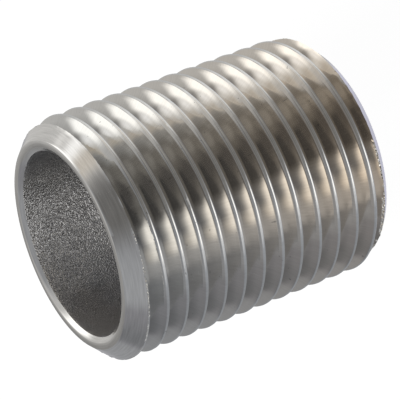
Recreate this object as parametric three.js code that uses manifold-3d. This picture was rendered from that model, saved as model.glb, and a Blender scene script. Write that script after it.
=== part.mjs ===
// Close pipe nipple: one short steel tube, threaded on the outside from end to end.
// Millimetres. The pipe axis is X, +Z is up, and the origin is on the axis at mid length.
import * as THREE from 'three';
import { mergeVertices } from 'three/addons/utils/BufferGeometryUtils.js';
import Module from 'manifold-3d';

const wasm = await Module();
wasm.setup();

// Driving dimensions: parallel pipe thread, nominal bore 1/2 inch, 14 threads per inch, right-hand.
const THREADS_PER_INCH = 14;
const MAJOR_DIAMETER = 20.7;
const LENGTH = 25.0;
const BORE_DIAMETER = 15.9;
const FLANK_ANGLE = THREE.MathUtils.degToRad(27.5);

// Ends: a 45 degree lead-in chamfer outside, and a shallower deburring chamfer at the bore's mouth.
const CHAMFER_LEFT = 1.4;
const CHAMFER_RIGHT = 1.2;
const DEBUR_RADIAL = 0.45;
const DEBUR_AXIAL = 0.3;

// Where the crest line lies: its distance from the left end face, on the +Y side.
const CREST_START = 0.43;

// Facets round the pipe. A flat one is at the bottom, for the part to lie on.
const SEGMENTS = 24;

// Whitworth proportions, as fractions of the pitch.
const PITCH = 25.4 / THREADS_PER_INCH;
const THREAD_DEPTH = 0.640327 * PITCH;
const ROUNDING_RADIUS = 0.137329 * PITCH;

const MAJOR_RADIUS = MAJOR_DIAMETER / 2;
const MINOR_RADIUS = MAJOR_RADIUS - THREAD_DEPTH;
const BORE_RADIUS = BORE_DIAMETER / 2;

// A closed three.js geometry as a solid that can be cut.
function toSolid(geometry) {
  const bare = geometry.clone();
  bare.deleteAttribute('normal');
  bare.deleteAttribute('uv');
  const merged = mergeVertices(bare, 1e-5);
  const mesh = new wasm.Mesh({
    numProp: 3,
    vertProperties: new Float32Array(merged.attributes.position.array),
    triVerts: new Uint32Array(merged.index.array),
  });
  mesh.merge();
  return new wasm.Manifold(mesh);
}

// A cut solid back as a three.js geometry.
function toGeometry(solid) {
  const mesh = solid.getMesh();
  const geometry = new THREE.BufferGeometry();
  geometry.setAttribute('position', new THREE.BufferAttribute(mesh.vertProperties, 3));
  geometry.setIndex(new THREE.BufferAttribute(mesh.triVerts, 1));
  return geometry;
}

// The plain turned blank: tube, both outer chamfers and both deburred mouths.
// A profile point is (radius, distance along the axis), and the outline closes on itself.
function makeBlank() {
  const left = -LENGTH / 2;
  const right = LENGTH / 2;
  const mouth = BORE_RADIUS + DEBUR_RADIAL;
  const outline = [
    [BORE_RADIUS, left + DEBUR_AXIAL],
    [mouth, left],
    [MAJOR_RADIUS - CHAMFER_LEFT, left],
    [MAJOR_RADIUS, left + CHAMFER_LEFT],
    [MAJOR_RADIUS, right - CHAMFER_RIGHT],
    [MAJOR_RADIUS - CHAMFER_RIGHT, right],
    [mouth, right],
    [BORE_RADIUS, right - DEBUR_AXIAL],
  ].map(([radius, along]) => new THREE.Vector2(radius, along));
  outline.push(outline[0].clone());
  const halfFacet = Math.PI / SEGMENTS;
  const geometry = new THREE.LatheGeometry(outline, SEGMENTS, halfFacet, 2 * Math.PI);
  geometry.rotateZ(-Math.PI / 2);
  return toSolid(geometry);
}

// A straight path along the axis whose frame turns once per pitch, so that a section
// drawn in it as (radius, -distance along the axis) sweeps out a right-hand screw.
class ScrewPath extends THREE.Curve {
  constructor(start, startAngle, turns) {
    super();
    this.start = start;
    this.startAngle = startAngle;
    this.turns = turns;
  }

  getPoint(t, target = new THREE.Vector3()) {
    return target.set(this.start + t * this.turns * PITCH, 0, 0);
  }

  getPointAt(t, target) {
    return this.getPoint(t, target);
  }

  computeFrenetFrames(steps) {
    const frames = { tangents: [], normals: [], binormals: [] };
    for (let i = 0; i <= steps; i += 1) {
      const angle = this.startAngle + (i / steps) * this.turns * 2 * Math.PI;
      const radial = new THREE.Vector3(0, Math.cos(angle), Math.sin(angle));
      frames.normals.push(radial);
      frames.binormals.push(new THREE.Vector3(-1, 0, 0));
      frames.tangents.push(new THREE.Vector3(0, -radial.z, radial.y));
    }
    return frames;
  }
}

// The groove's section: flat-bottomed, 27.5 degree flanks down to the root, and a bevel
// on each side where the crest is rounded. It stands a little proud of the crests.
function grooveSection() {
  const crestHalfFlat = 0.09;
  const proud = 0.4;
  const roundingHalfWidth = ROUNDING_RADIUS * Math.cos(FLANK_ANGLE);
  const roundingDepth = ROUNDING_RADIUS * (1 - Math.sin(FLANK_ANGLE));
  const rootHalfFlat = roundingHalfWidth - roundingDepth * Math.tan(FLANK_ANGLE);
  const side = [
    [MINOR_RADIUS, rootHalfFlat],
    [MAJOR_RADIUS - roundingDepth, PITCH / 2 - roundingHalfWidth],
    [MAJOR_RADIUS, PITCH / 2 - crestHalfFlat],
    [MAJOR_RADIUS + proud, PITCH / 2 - crestHalfFlat],
  ];
  const mirrored = side.map(([radius, along]) => [radius, -along]).reverse();
  return new THREE.Shape([...side, ...mirrored].map(([radius, along]) => new THREE.Vector2(radius, along)));
}

// The thread groove, long enough to run out past both ends.
function makeGroove() {
  const turnsBefore = 2;
  const turns = Math.ceil(LENGTH / PITCH) + 2 * turnsBefore;
  const crestAtLeft = -LENGTH / 2 + CREST_START;
  const grooveStart = crestAtLeft + PITCH / 2 - turnsBefore * PITCH;
  const halfFacet = Math.PI / SEGMENTS;
  const path = new ScrewPath(grooveStart + (halfFacet / (2 * Math.PI)) * PITCH, halfFacet, turns);
  const geometry = new THREE.ExtrudeGeometry(grooveSection(), {
    steps: turns * SEGMENTS,
    bevelEnabled: false,
    extrudePath: path,
  });
  return toSolid(geometry);
}

const steel = new THREE.MeshStandardMaterial({ color: 0x9d9a95, metalness: 1.0, roughness: 0.35 });

const nipple = new THREE.Mesh(toGeometry(makeBlank().subtract(makeGroove())), steel);
nipple.name = 'pipe_nipple';

const part = new THREE.Group();
part.add(nipple);

export default part;
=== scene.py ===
# A 1/2 inch close pipe nipple in turned stainless steel, lying on a pale floor.
# The pipe axis is X, +Z is up, and the origin is on the axis at mid length.
import math
from collections import namedtuple

import bpy
import numpy as np
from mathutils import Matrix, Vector, noise


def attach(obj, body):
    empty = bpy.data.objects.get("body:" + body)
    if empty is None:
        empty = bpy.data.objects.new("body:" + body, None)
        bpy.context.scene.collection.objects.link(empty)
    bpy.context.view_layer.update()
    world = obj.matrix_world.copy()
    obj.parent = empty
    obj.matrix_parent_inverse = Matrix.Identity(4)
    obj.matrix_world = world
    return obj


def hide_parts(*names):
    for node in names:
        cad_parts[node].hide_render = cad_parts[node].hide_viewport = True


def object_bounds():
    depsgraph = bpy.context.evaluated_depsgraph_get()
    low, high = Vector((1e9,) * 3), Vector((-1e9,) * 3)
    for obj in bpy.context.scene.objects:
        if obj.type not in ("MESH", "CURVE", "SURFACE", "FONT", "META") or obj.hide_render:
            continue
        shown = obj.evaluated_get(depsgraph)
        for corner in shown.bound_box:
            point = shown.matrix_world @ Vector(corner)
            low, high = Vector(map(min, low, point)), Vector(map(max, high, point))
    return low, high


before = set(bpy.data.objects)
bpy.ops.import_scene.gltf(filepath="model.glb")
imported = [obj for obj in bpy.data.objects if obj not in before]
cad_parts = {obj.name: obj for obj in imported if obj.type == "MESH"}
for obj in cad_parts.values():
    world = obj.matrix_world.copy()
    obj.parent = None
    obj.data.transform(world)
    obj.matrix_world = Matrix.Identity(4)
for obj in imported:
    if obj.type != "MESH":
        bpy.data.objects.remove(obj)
cad_low, cad_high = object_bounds()

MM = 0.001

# ------------------------------------------------------------ driving sizes, in millimetres
PITCH = 25.4 / 14
LENGTH = (cad_high.x - cad_low.x) / MM
MAJOR_R = 10.35
BORE_R = 7.95
CHAMFER_LEFT = 1.4
CHAMFER_RIGHT = 1.2
DEBUR_RADIAL = 0.45
DEBUR_AXIAL = 0.3
EDGE_ROUND = 0.05
CREST_START = 0.41

LEFT = -LENGTH / 2
RIGHT = LENGTH / 2

# Thread form, an estimate. A tilt is the angle between the surface and the pipe's axis. The
# flank that faces -X (the leading one) is hollow, and the trailing one is straight.
LEAD_CREST_R = 0.155
LEAD_TILT = math.radians(61.7)
LEAD_HOLLOW = math.radians(27.0)
TRAIL_CREST_R = 0.25
TRAIL_TILT = math.radians(68.0)
ROOT_R = 0.05

# The groove starts at this angle along the screw, and is fully deep after this turn.
RUN_IN_START = math.radians(-128.0)
RUN_IN_TURN = math.radians(36.0)

# Surface relief: the torn edge where a chamfer cuts the thread, dents on the crests,
# and the pitted scale inside the bore, which fades out over a short way to its mouths.
BURR = 0.06
DENT = 0.04
PITTING = 0.03
PITTING_FADE = 0.6

# Mesh density.
COLUMNS = 240
COLUMN_ANGLE = 2 * math.pi / COLUMNS
BORE_ROWS = 118
CREST_STEPS = 3
ROOT_STEPS = 2
LEAD_STEPS = 6
TRAIL_STEPS = 2

# Two faces that meet at more than this angle have a sharp edge between them.
SHARP_ANGLE = math.radians(32)


# ------------------------------------------------------------ thread form
def bend(tilt_from, tilt_to, length, steps):
    """Offsets (along, down) at each step of a run whose tilt changes evenly over its length."""
    if tilt_from == tilt_to:
        reach = length * np.arange(1, steps + 1) / steps
        return np.column_stack([reach * math.cos(tilt_to), reach * math.sin(tilt_to)])
    tilts = np.linspace(tilt_from, tilt_to, steps + 1)[1:]
    radius = length / (tilt_to - tilt_from)
    along = radius * (np.sin(tilts) - math.sin(tilt_from))
    down = radius * (math.cos(tilt_from) - np.cos(tilts))
    return np.column_stack([along, down])


def side(crest_radius, tilt, hollow, flank_length, flank_steps):
    """Half the form, from the top of a crest down to the root, as (along, down) points."""
    foot = tilt - hollow
    runs = [
        bend(0.0, tilt, crest_radius * tilt, CREST_STEPS),
        bend(tilt, foot, flank_length, flank_steps),
        bend(foot, 0.0, ROOT_R * foot, ROOT_STEPS),
    ]
    points = np.zeros((1, 2))
    for run in runs:
        points = np.vstack([points, points[-1] + run])
    return points


def thread_form():
    """One pitch from crest to crest: distance along the axis, and depth below the crest.

    The two flank lengths are the ones that make both sides equally deep and one pitch wide.
    """
    lead = (LEAD_CREST_R, LEAD_TILT, LEAD_HOLLOW)
    trail = (TRAIL_CREST_R, TRAIL_TILT, 0.0)
    lead_fixed = side(*lead, flank_length=0.0, flank_steps=1)[-1]
    trail_fixed = side(*trail, flank_length=0.0, flank_steps=1)[-1]
    lead_each = side(*lead, flank_length=1.0, flank_steps=1)[-1] - lead_fixed
    trail_each = side(*trail, flank_length=1.0, flank_steps=1)[-1] - trail_fixed
    width = PITCH - lead_fixed[0] - trail_fixed[0]
    rise = trail_fixed[1] - lead_fixed[1]
    growth = [[lead_each[0], trail_each[0]], [lead_each[1], -trail_each[1]]]
    lead_length, trail_length = np.linalg.solve(growth, [width, rise])
    lead_side = side(*lead, lead_length, LEAD_STEPS)[1:-1]
    trail_side = side(*trail, trail_length, TRAIL_STEPS)
    along = np.concatenate([trail_side[:, 0], PITCH - lead_side[::-1, 0]])
    depth = np.concatenate([trail_side[:, 1], lead_side[::-1, 1]])
    return along, depth


ALONG, DEPTH = thread_form()
PER_PITCH = len(ALONG)


def thread_radius(x, angle):
    """Radius of the screw at x, before the ends are cut; angle runs from +Y towards +Z.

    The groove has no end towards +X. Towards -X it starts late enough to leave the left
    chamfer whole.
    """
    crest = LEFT + CREST_START + PITCH * angle / (2 * math.pi)
    turn, phase = np.divmod(x - crest, PITCH)
    depth = np.interp(phase, np.append(ALONG, PITCH), np.append(DEPTH, 0.0))
    run_in = (angle + 2 * math.pi * turn - RUN_IN_START) / RUN_IN_TURN
    return MAJOR_R - depth * np.clip(run_in, 0.0, 1.0)


def chamfer_radius(x):
    """Radius that the two lead-in chamfers leave at x."""
    left = MAJOR_R - CHAMFER_LEFT + (x - LEFT)
    right = MAJOR_R - CHAMFER_RIGHT + (RIGHT - x)
    return np.minimum(left, right)


def snap_to_chamfer_edge(x, angle):
    """Moves the nearest helical line onto each place where thread and chamfer cross.

    Gives back which points are on such an edge.
    """
    gap = thread_radius(x, angle) - chamfer_radius(x)
    column, line = np.nonzero(gap[:, :-1] * gap[:, 1:] < 0)
    start, end = x[column, line], x[column, line + 1]
    low, high = start.copy(), end.copy()
    at = angle[column, 0]
    low_sign = np.sign(gap[column, line])
    halvings = 24
    for _ in range(halvings):
        middle = (low + high) / 2
        same = np.sign(thread_radius(middle, at) - chamfer_radius(middle)) == low_sign
        low = np.where(same, middle, low)
        high = np.where(same, high, middle)
    nearest = np.where(middle - start < end - middle, line, line + 1)
    x[column, nearest] = middle
    on_edge = np.zeros(x.shape, bool)
    on_edge[column, nearest] = True
    return on_edge


def relief(x, radius, angle, scale, seed):
    """Smooth noise from -1 to 1 at points given by x, radius and angle; scale is lumps per mm."""
    y = radius * np.cos(angle)
    z = radius * np.sin(angle)
    points = np.column_stack([np.ravel(x), np.ravel(y), np.ravel(z)]) * scale + seed
    values = [noise.noise(Vector(p)) for p in points]
    return np.reshape(values, np.shape(x))


def patches(values, gain, offset):
    """Turns noise from -1 to 1 into patches from 0 to 1, which are wider for a higher offset."""
    return np.clip(values * gain + offset, 0, 1)


def make_outside():
    """x, radius and angle of the outer surface, and whether each point is on a torn chamfer edge.

    There is a row for each column and an entry for each line.
    """
    lead_turns = 2
    turns = int(LENGTH / PITCH) + 2 * lead_turns
    starts = (np.arange(turns) - lead_turns)[:, None] * PITCH + ALONG[None, :]
    starts = starts.reshape(-1) + LEFT + CREST_START
    angle = np.arange(COLUMNS)[:, None] * COLUMN_ANGLE + np.zeros((1, len(starts)))
    x = starts[None, :] + PITCH * angle / (2 * math.pi)
    on_edge = snap_to_chamfer_edge(x, angle)
    radius = np.minimum(thread_radius(x, angle), chamfer_radius(x))
    torn = relief(x[on_edge], radius[on_edge], angle[on_edge], scale=4.3, seed=31.0)
    radius[on_edge] += BURR * patches(torn, gain=1.3, offset=0.25)
    radius = np.minimum(radius, MAJOR_R)
    crests = (slice(None), slice(None, None, PER_PITCH))
    dented = relief(x[crests], radius[crests], angle[crests], scale=1.1, seed=7.0)
    radius[crests] -= DENT * patches(dented, gain=3.0, offset=-1.2)
    return x, radius, angle, on_edge


def ring_rows():
    """The left end, bore and right end, each as (x, radius) rings, from the left rim to the right."""
    mouth = BORE_R + DEBUR_RADIAL
    face_left = MAJOR_R - CHAMFER_LEFT
    face_right = MAJOR_R - CHAMFER_RIGHT

    def end_rings(face):
        """Distance in from the end, and radius, from the outer rim to the bore.

        A ring a little to each side of an edge rounds it.
        """
        return [
            (EDGE_ROUND * 0.3, face + EDGE_ROUND * 0.3),
            (0.0, face - EDGE_ROUND * 0.5),
            (0.0, (face + mouth) / 2),
            (0.0, mouth + EDGE_ROUND * 0.5),
            (EDGE_ROUND * 0.35, mouth - EDGE_ROUND * 0.5),
            (DEBUR_AXIAL / 2, BORE_R + DEBUR_RADIAL / 2),
            (DEBUR_AXIAL * 0.95, BORE_R + DEBUR_RADIAL * 0.05),
        ]

    left_side = [(LEFT + inward, radius) for inward, radius in end_rings(face_left)]
    right_side = [(RIGHT - inward, radius) for inward, radius in end_rings(face_right)[::-1]]
    bore_start = LEFT + DEBUR_AXIAL * 1.3
    bore = [(x, BORE_R) for x in np.linspace(bore_start, -bore_start, BORE_ROWS)]
    return left_side, bore, right_side


def make_inside():
    """x, radius and angle of the end faces, mouths and bore, and which of the rings are the bore.

    There is a row for each ring and an entry for each column.
    """
    left_side, bore, right_side = ring_rows()
    rows = np.array(left_side + bore + right_side)
    angle = np.arange(COLUMNS) * COLUMN_ANGLE + np.zeros((len(rows), 1))
    x = rows[:, :1] + np.zeros((1, COLUMNS))
    radius = rows[:, 1:] + np.zeros((1, COLUMNS))
    wall = slice(len(left_side), len(left_side) + BORE_ROWS)
    lumps = relief(x[wall], radius[wall], angle[wall], scale=2.2, seed=3.0)
    waves = relief(x[wall], radius[wall], angle[wall], scale=0.35, seed=11.0)
    bore_end = -bore[0][0]
    clear_of_mouth = np.clip((bore_end - np.abs(x[wall])) / PITTING_FADE, 0.0, 1.0)
    radius[wall] += clear_of_mouth * (PITTING * lumps + PITTING / 3 * waves)
    return x, radius, angle, wall


# ------------------------------------------------------------ mesh
# The materials' order on the mesh.
THREAD, RIM, BORE = range(3)


def skin_faces(index, on_chamfer, ring, wall):
    """Every face as a list of vertices, facing outward, and the material of each.

    index holds the outside's vertices by column and line, and ring the inside's by ring
    and column. The outside's last column joins the first one a pitch further on.
    """
    faces = []
    kinds = []

    def add_face(corners, kind):
        kept = [c for n, c in enumerate(corners) if c != corners[n - 1]]
        if len(set(kept)) == len(kept) and len(kept) >= 3:
            faces.append(kept)
            kinds.append(kind)

    lines = index.shape[1]
    for k in range(COLUMNS):
        following = (k + 1) % COLUMNS
        shift = PER_PITCH if following == 0 else 0
        for j in range(lines - 1 - shift):
            corners = [index[k, j], index[following, j + shift]]
            corners += [index[following, j + 1 + shift], index[k, j + 1]]
            add_face(corners, RIM if on_chamfer[k, j] else THREAD)
    for i in range(len(ring) - 1):
        kind = BORE if wall.start - 1 <= i < wall.stop else RIM
        for k in range(COLUMNS):
            following = (k + 1) % COLUMNS
            add_face([ring[i, k], ring[i + 1, k], ring[i + 1, following], ring[i, following]], kind)
    return faces, kinds


def build_nipple():
    """One closed skin: thread and chamfers outside, then the end faces, mouths and bore.

    Points of the outside that lie past an end face collapse onto the face's rim.
    """
    ring_x, ring_radius, ring_angle, wall = make_inside()
    ring = np.arange(ring_x.size).reshape(ring_x.shape)

    x, radius, angle, on_edge = make_outside()
    end_margin = 0.02
    kept = (x > LEFT + end_margin) & (x < RIGHT - end_margin)
    index = np.where(x < 0, ring[0][:, None], ring[-1][:, None])
    index[kept] = ring.size + np.arange(kept.sum())

    all_x = np.concatenate([ring_x.ravel(), x[kept]])
    all_radius = np.concatenate([ring_radius.ravel(), radius[kept]])
    all_angle = np.concatenate([ring_angle.ravel(), angle[kept]])
    y = all_radius * np.cos(all_angle)
    z = all_radius * np.sin(all_angle)
    vertices = np.column_stack([all_x, y, z]) * MM

    middle = (x[:, :-1] + x[:, 1:]) / 2
    middle_thread_radius = thread_radius(middle, angle[:, :-1] + COLUMN_ANGLE / 2)
    faces, kinds = skin_faces(index, chamfer_radius(middle) < middle_thread_radius, ring, wall)

    mesh = bpy.data.meshes.new("nipple_steel")
    mesh.from_pydata(vertices.tolist(), [], faces)
    mesh.polygons.foreach_set("material_index", kinds)
    mesh.polygons.foreach_set("use_smooth", [True] * len(faces))
    torn = np.concatenate([np.zeros(ring.size), on_edge[kept]])
    mesh.attributes.new("torn", "FLOAT", "POINT").data.foreach_set("value", torn)
    mesh.update()
    mesh.set_sharp_from_angle(angle=SHARP_ANGLE)
    piece = bpy.data.objects.new("nipple_steel", mesh)
    bpy.context.scene.collection.objects.link(piece)
    return piece


# ------------------------------------------------------------ node helpers
class Nodes:
    """A short way to write a material's nodes.

    A value is a number, a colour, a vector or another node's socket.
    """

    def __init__(self, name):
        self.material = bpy.data.materials.new(name)
        self.material.use_nodes = True
        self.tree = self.material.node_tree
        self.shader = self.tree.nodes["Principled BSDF"]

    def put(self, value, socket):
        """Gives a node's input its value."""
        if isinstance(value, bpy.types.NodeSocket):
            self.tree.links.new(value, socket)
        else:
            socket.default_value = value

    def set(self, name, value):
        """Gives one of the shader's own inputs its value."""
        self.put(value, self.shader.inputs[name])

    def add(self, kind, inputs=None, **settings):
        """A new node with these inputs and settings."""
        node = self.tree.nodes.new(kind)
        for key, value in settings.items():
            setattr(node, key, value)
        for key, value in (inputs or {}).items():
            self.put(value, node.inputs[key])
        return node

    def math(self, operation, a, b):
        return self.add("ShaderNodeMath", {0: a, 1: b}, operation=operation).outputs[0]

    def vector(self, operation, a, b):
        """A vector from two vectors, or from a vector and a number where the operation is SCALE."""
        second = 3 if operation == "SCALE" else 1
        return self.add("ShaderNodeVectorMath", {0: a, second: b}, operation=operation).outputs[0]

    def dot(self, a, b):
        node = self.add("ShaderNodeVectorMath", {0: a, 1: b}, operation="DOT_PRODUCT")
        return node.outputs["Value"]

    def ramp(self, value, low, high, out_low=0.0, out_high=1.0):
        """out_low where value is low or less, out_high where it is high or more, even between."""
        node = self.add("ShaderNodeMapRange", {0: value, 1: low, 2: high, 3: out_low, 4: out_high})
        return node.outputs[0]

    def mix(self, share, a, b):
        """Colour a, turning to b as share goes from 0 to 1."""
        node = self.add("ShaderNodeMix", {0: share, 6: a, 7: b}, data_type="RGBA")
        return node.outputs[2]

    def multiply(self, a, b):
        inputs = {0: 1.0, 6: a, 7: b}
        return self.add("ShaderNodeMix", inputs, data_type="RGBA", blend_type="MULTIPLY").outputs[2]

    def noise(self, vector, scale, detail):
        """Noise from 0 to 1, with about scale lumps for each unit of vector."""
        inputs = {"Vector": vector, "Scale": scale, "Detail": detail}
        return self.add("ShaderNodeTexNoise", inputs).outputs["Fac"]

    def bump(self, height, strength, distance_mm):
        """A bump node, which lifts the surface by height times distance_mm."""
        inputs = {"Height": height, "Strength": strength, "Distance": distance_mm * MM}
        return self.add("ShaderNodeBump", inputs)


def rgba(colour, factor=1.0):
    """The colour times factor, with full alpha."""
    return [c * factor for c in colour] + [1.0]


def direction_across(degrees):
    """A unit vector square to the pipe's axis, at an angle from +Y towards +Z."""
    angle = math.radians(degrees)
    return Vector((0, math.cos(angle), math.sin(angle)))


# Where a point lies: its position, x and distance from the pipe's axis, in millimetres, and
# the unit vector that points to it from the axis.
Place = namedtuple("Place", "position x radius around")


def lathe_place(n):
    """The place of the point that is being shaded."""
    metres = n.add("ShaderNodeTexCoord").outputs["Object"]
    position = n.vector("SCALE", metres, 1 / MM)
    parts = n.add("ShaderNodeSeparateXYZ", {0: position}).outputs
    across = n.add("ShaderNodeCombineXYZ", {1: parts[1], 2: parts[2]}).outputs[0]
    radius = n.add("ShaderNodeVectorMath", {0: across}, operation="LENGTH").outputs["Value"]
    around = n.add("ShaderNodeVectorMath", {0: across}, operation="NORMALIZE").outputs[0]
    return Place(position, parts[0], radius, around)


def drawn_noise(n, place, per_mm, per_turn):
    """Noise drawn out into marks: about per_mm of them along the axis and outward from it.

    per_turn is how often they change round the axis.
    """
    wide = n.vector("SCALE", place.around, per_turn)
    along = n.add("ShaderNodeCombineXYZ", {0: n.math("MULTIPLY", place.x, per_mm)}).outputs[0]
    vector = n.vector("ADD", wide, along)
    out = n.math("MULTIPLY", place.radius, per_mm)
    inputs = {"Vector": vector, "W": out, "Scale": 1.0, "Detail": 3.0}
    return n.add("ShaderNodeTexNoise", inputs, noise_dimensions="4D").outputs["Fac"]


# ------------------------------------------------------------ steels
THREAD_NEAR = (0.610, 0.614, 0.612)
# The thread's colour at the +X end is warmer than at the -X end: painted warm light.
THREAD_FAR_PAINTED_WARM_LIGHT = (0.695, 0.643, 0.582)
POLISHED = (0.67, 0.68, 0.69)
RIM_COLOUR = (0.742, 0.737, 0.73)
# A lighter colour on the torn edge: a painted glint.
TORN_PAINTED_GLINT = (0.92, 0.91, 0.88)
SCALE_GREY = (0.50, 0.505, 0.52)
SCALE_BROWN = (0.50, 0.485, 0.475)
# A near-white colour on the bore's coarse side: a painted highlight.
PAINTED_BORE_HIGHLIGHT = (0.93, 0.92, 0.9)

# How bright the painted shade in the thread's roots is beside its flanks, and its dark specks
# beside the steel, and how much of the speck's colour shows.
PAINTED_SHADE_BRIGHTNESS = 0.76
SPECK_BRIGHTNESS = 0.4
SPECK_SHARE = 0.7

# Depths below the crests, in millimetres, where the painted shade in the roots and the
# crests' polish start and where they are full.
PAINTED_SHADE_START, PAINTED_SHADE_FULL = 0.5, 1.1
POLISH_START, POLISH_FULL = 0.1, 0.02

# The noise that draws the marks lies mostly between these two.
MARK_LOW = 0.3
MARK_HIGH = 0.7

# The middle of the side where the chamfer's edge is torn and carries a painted glint, and of the
# bore's coarse side, which carries a painted highlight.
TORN_SIDE = direction_across(185)
COARSE_AND_PAINTED_LIT_SIDE = direction_across(-22)


def streaked(n, tint, marks, contrast):
    """The tint, a little darker and lighter along the marks."""
    dark, light = rgba((1, 1, 1), 1 - contrast), rgba((1, 1, 1), 1 + contrast)
    return n.multiply(tint, n.mix(n.ramp(marks, MARK_LOW, MARK_HIGH), dark, light))


def finish_turned(n, place, tint, marks, roughness):
    """Bright steel of this tint whose marks catch the light, with crumbs and a painted glint on the
    torn edge.
    """
    edge = n.add("ShaderNodeAttribute", attribute_name="torn").outputs["Fac"]
    on_edge = n.ramp(edge, low=0.2, high=0.5)
    in_patch = n.ramp(n.noise(place.position, scale=1.4, detail=2.0), low=0.38, high=0.46)
    on_side = n.ramp(n.dot(place.around, TORN_SIDE), low=0.72, high=0.8)
    torn = n.math("MULTIPLY", n.math("MULTIPLY", on_edge, in_patch), on_side)
    # Painted glint: the torn edge takes a lighter colour where it is marked; its crumbs are bumps.
    n.set("Base Color", n.mix(torn, tint, rgba(TORN_PAINTED_GLINT)))
    n.set("Metallic", 1.0)
    smoother, rougher = roughness * 0.8, roughness * 1.25
    n.set("Roughness", n.ramp(marks, MARK_LOW, MARK_HIGH, smoother, rougher))
    marked = n.bump(marks, strength=0.5, distance_mm=0.0015)
    crumbs = n.bump(n.noise(place.position, scale=6.0, detail=0.5), strength=torn, distance_mm=0.4)
    n.put(marked.outputs[0], crumbs.inputs["Normal"])
    n.set("Normal", crumbs.outputs[0])
    return n.material


def thread_steel():
    """The thread: cross marks, painted warm light to +X, painted shade in the roots, polished crests,
    dark specks.
    """
    n = Nodes("thread_steel")
    place = lathe_place(n)
    marks = drawn_noise(n, place, per_mm=0.9, per_turn=80.0)
    # Painted warm light: the thread's colour turns warmer from the -X end to the +X end.
    tint = n.mix(n.ramp(place.x, LEFT, RIGHT), rgba(THREAD_NEAR), rgba(THREAD_FAR_PAINTED_WARM_LIGHT))
    # Painted shade: the roots are darker than the flanks, standing for the shade deep in the groove.
    root, flank = MAJOR_R - PAINTED_SHADE_FULL, MAJOR_R - PAINTED_SHADE_START
    root_shade = n.ramp(place.radius, root, flank, out_low=PAINTED_SHADE_BRIGHTNESS)
    on_crest = n.ramp(place.radius, MAJOR_R - POLISH_START, MAJOR_R - POLISH_FULL)
    tint = n.mix(on_crest, n.multiply(tint, root_shade), rgba(POLISHED))
    tint = streaked(n, tint, marks, contrast=0.05)
    peaks = n.noise(place.position, scale=3.1, detail=1.0)
    specks = n.ramp(peaks, low=0.765, high=0.79, out_high=SPECK_SHARE)
    tint = n.mix(specks, tint, rgba(THREAD_NEAR, SPECK_BRIGHTNESS))
    return finish_turned(n, place, tint, marks, roughness=0.06)


def rim_steel():
    """The chamfers, end faces and mouths: tool marks that run round the pipe."""
    n = Nodes("rim_steel")
    place = lathe_place(n)
    marks = drawn_noise(n, place, per_mm=7.0, per_turn=5.0)
    tint = streaked(n, rgba(RIM_COLOUR), marks, contrast=0.11)
    return finish_turned(n, place, tint, marks, roughness=0.11)


def bore_steel():
    """The bore's raw wall: dull mill scale, browner in places, coarse on one side, with a painted
    highlight there.
    """
    n = Nodes("bore_steel")
    place = lathe_place(n)
    waver = n.ramp(n.noise(place.position, scale=0.5, detail=2.0), 0.3, 0.7, -0.06, 0.06)
    towards_coarse_and_lit = n.math("ADD", n.dot(place.around, COARSE_AND_PAINTED_LIT_SIDE), waver)
    coarse = n.ramp(towards_coarse_and_lit, low=0.2, high=1.05)
    # Painted highlight: the base colour turns almost white towards the coarse side's middle, standing
    # for light on that part of the wall.
    painted_highlight = n.ramp(towards_coarse_and_lit, low=0.6, high=1.0)
    brown = n.ramp(n.noise(place.position, scale=0.18, detail=2.0), low=0.42, high=0.62)
    tint = n.mix(brown, rgba(SCALE_GREY), rgba(SCALE_BROWN))
    n.set("Base Color", n.mix(painted_highlight, tint, rgba(PAINTED_BORE_HIGHLIGHT)))
    n.set("Metallic", 1.0)
    n.set("Roughness", n.ramp(coarse, 0.0, 1.0, out_low=0.5, out_high=0.28))
    grain = n.noise(place.position, scale=8.0, detail=0.2)
    strength = n.ramp(coarse, 0.0, 1.0, out_low=0.2, out_high=1.0)
    n.set("Normal", n.bump(grain, strength, distance_mm=0.1).outputs[0])
    return n.material


# ------------------------------------------------------------ floor, tent, lights and camera
def direction(azimuth, elevation):
    """A unit vector; azimuth 0 is -Y and 90 is +X, in degrees."""
    a, e = math.radians(azimuth), math.radians(elevation)
    return Vector((math.sin(a) * math.cos(e), -math.cos(a) * math.cos(e), math.sin(e)))


def smooth(value, low, high):
    """0 where value is low or less, 1 where it is high or more, with an S curve between."""
    t = np.clip((value - low) / (high - low), 0, 1)
    return t * t * (3 - 2 * t)


def panel(azimuth, elevation, edges, soft):
    """How much of a soft-edged panel lies in each direction, from 0 to 1."""
    west, east, bottom, top = edges
    turn = (azimuth - (west + east) / 2 + 180) % 360 - 180
    half = (east - west) / 2
    across = 1 - smooth(np.abs(turn), half - soft[0], half + soft[0])
    above = smooth(elevation, bottom - soft[1], bottom + soft[1])
    below = 1 - smooth(elevation, top - soft[1], top + soft[1])
    return across * above * below


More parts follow.
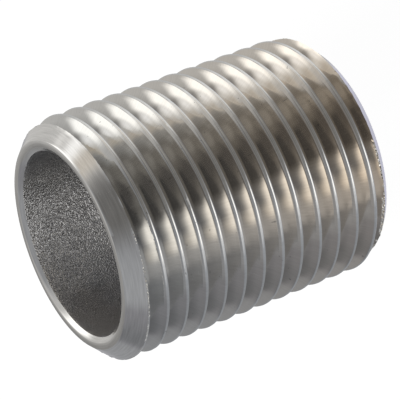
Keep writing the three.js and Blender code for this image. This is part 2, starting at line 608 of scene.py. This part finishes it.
# The studio as the steel sees it. Each panel covers the ones before it. A panel has its edges
# (west, east, bottom, top) and softness (across, up) in degrees, and its colour.
TENT_BASE = (0.335, 0.341, 0.353)
TENT_PANELS = [
    ((-180, 180, 30, 110), (1, 14), (0.32, 0.3, 0.27)),
    ((-180, 180, 80, 110), (1, 5), (0.51, 0.485, 0.445)),
    ((-178, -118, -58, -22), (10, 8), (0.285, 0.28, 0.272)),
    ((120, 250, -32, 70), (12, 12), (0.62, 0.61, 0.59)),
    ((116, 236, 20, 58), (14, 7), (0.96, 0.93, 0.87)),
    ((140, 230, 45, 58), (14, 7), (1, 0.87, 0.7)),
    ((-175, -134, 24, 56), (14, 8), (1, 0.98, 0.94)),
    ((-66, 92, -38, -4), (16, 9), (0.4, 0.408, 0.422)),
    ((-42, 88, -18, 4), (14, 10), (0.74, 0.73, 0.72)),
    ((-15, 4, -22, 13), (5, 6), (0.86, 0.86, 0.86)),
    ((128, 148, -8, 44), (7, 8), (0.92, 0.92, 0.92)),
    ((100, 135, -40, -10), (8, 8), (0.62, 0.62, 0.74)),
    ((-151, -126, -8, 17), (6, 6), (1.62, 1.6, 1.54)),
    ((-160, -145, 18, 34), (7, 6), (0.38, 0.37, 0.36)),
    ((-131, -113, 22, 48), (7, 5), (0.66, 0.61, 0.54)),
    ((-143, -131, 17, 27), (6, 5), (1.28, 1.27, 1.25)),
    ((-99, -50, 8, 48), (12, 11), (0.17, 0.166, 0.16)),
    ((0, 32, 33, 70), (8, 6), (0.125, 0.12, 0.115)),
    ((28, 72, 43, 72), (10, 10), (0.16, 0.15, 0.14)),
    ((9, 30, -2, 10), (7, 6), (1.02, 0.96, 0.87)),
    ((24, 55, -3, 27), (16, 6), (2.15, 2.05, 1.88)),
    ((50, 76, -14, 14), (8, 8), (0.92, 0.92, 0.94)),
    ((138, 165, -62, -15), (8, 10), (0.4, 0.4, 0.42)),
    ((-115, -50, -80, -40), (12, 5), (0.265, 0.265, 0.28)),
    ((-104, -46, -84, -57), (12, 10), (0.205, 0.21, 0.22)),
    ((78, 114, 6, 32), (8, 8), (0.2, 0.197, 0.195)),
]


def make_tent(radius):
    """A glowing shell round the part that only its reflections see."""
    bpy.ops.mesh.primitive_uv_sphere_add(segments=240, ring_count=120, radius=radius)
    tent = bpy.context.object
    tent.name = "reflection_tent"
    points = np.array([v.co for v in tent.data.vertices]) / radius
    azimuth = np.degrees(np.arctan2(points[:, 0], -points[:, 1]))
    elevation = np.degrees(np.arcsin(np.clip(points[:, 2], -1, 1)))
    colours = np.tile(np.array(TENT_BASE), (len(points), 1))
    for edges, soft, colour in TENT_PANELS:
        share = panel(azimuth, elevation, edges, soft)[:, None]
        colours = colours * (1 - share) + np.array(colour) * share
    layer = tent.data.color_attributes.new("glow", "FLOAT_COLOR", "POINT")
    layer.data.foreach_set("color", np.hstack([colours, np.ones((len(points), 1))]).ravel())
    n = Nodes("tent_glow")
    glow = n.add("ShaderNodeAttribute", attribute_name="glow").outputs["Color"]
    emission = n.add("ShaderNodeEmission", {"Color": glow, "Strength": 1.0})
    n.put(emission.outputs[0], n.tree.nodes["Material Output"].inputs["Surface"])
    n.material.cycles.emission_sampling = "NONE"
    tent.data.materials.append(n.material)
    for ray in ("camera", "diffuse", "transmission", "volume_scatter", "shadow"):
        setattr(tent, "visible_" + ray, False)


def make_floor(height):
    """A pale table top that glows, as product photographs use, so that shadows stay light."""
    bpy.ops.mesh.primitive_plane_add(size=4.0, location=(0, 0, height))
    floor = bpy.context.object
    floor.name = "floor"
    n = Nodes("pale_floor")
    n.set("Base Color", (0.22, 0.22, 0.22, 1.0))
    n.set("Roughness", 0.9)
    n.set("Specular IOR Level", 0.0)
    n.set("Emission Color", (1.0, 1.0, 1.0, 1.0))
    n.set("Emission Strength", 0.95)
    floor.data.materials.append(n.material)
    floor.visible_glossy = False


def make_softbox(name, size, energy, towards):
    """A disc light for the floor. The steel only mirrors the tent, so it doesn't show in it."""
    distance = 0.5
    light = bpy.data.lights.new(name, "AREA")
    light.shape = "DISK"
    light.size = size
    light.energy = energy
    softbox = bpy.data.objects.new(name, light)
    softbox.location = towards * distance
    softbox.rotation_euler = towards.to_track_quat("Z", "Y").to_euler()
    softbox.visible_camera = False
    softbox.visible_glossy = False
    bpy.context.scene.collection.objects.link(softbox)


def make_lights():
    """A white background, which only the camera sees, and two softboxes."""
    world = bpy.data.worlds.new("studio")
    bpy.context.scene.world = world
    world.use_nodes = True
    background = world.node_tree.nodes["Background"]
    background.inputs["Color"].default_value = (1.0, 1.0, 1.0, 1.0)
    background.inputs["Strength"].default_value = 1.0
    world.cycles_visibility.diffuse = False
    make_softbox("front_softbox", size=0.2, energy=4.0, towards=direction(-61, 9))
    make_softbox("overhead_softbox", size=0.5, energy=0.5, towards=direction(150, 70))


def make_camera():
    """Looks along +Y turned 32 degrees towards +X, and 37 degrees down."""
    heading, tilt = 32.23, 36.74
    aim = Vector((-0.04, -0.20, -0.25)) * MM
    distance = 207.6 * MM
    camera = bpy.data.objects.new("camera", bpy.data.cameras.new("camera"))
    towards = -direction(-heading, tilt)
    camera.location = aim - towards * distance
    camera.rotation_euler = towards.to_track_quat("-Z", "Y").to_euler()
    camera.data.sensor_width = 36.0
    camera.data.lens = 225.5
    camera.data.clip_start = 0.01
    bpy.context.scene.collection.objects.link(camera)
    bpy.context.scene.camera = camera


# ------------------------------------------------------------ the scene
nipple = build_nipple()
# In the order of THREAD, RIM and BORE.
for steel in (thread_steel(), rim_steel(), bore_steel()):
    nipple.data.materials.append(steel)
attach(nipple, "root")
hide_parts("pipe_nipple")

make_tent(radius=1.0)
make_floor(height=-MAJOR_R * MM)
make_lights()
make_camera()
bpy.context.scene.view_settings.view_transform = "Standard"
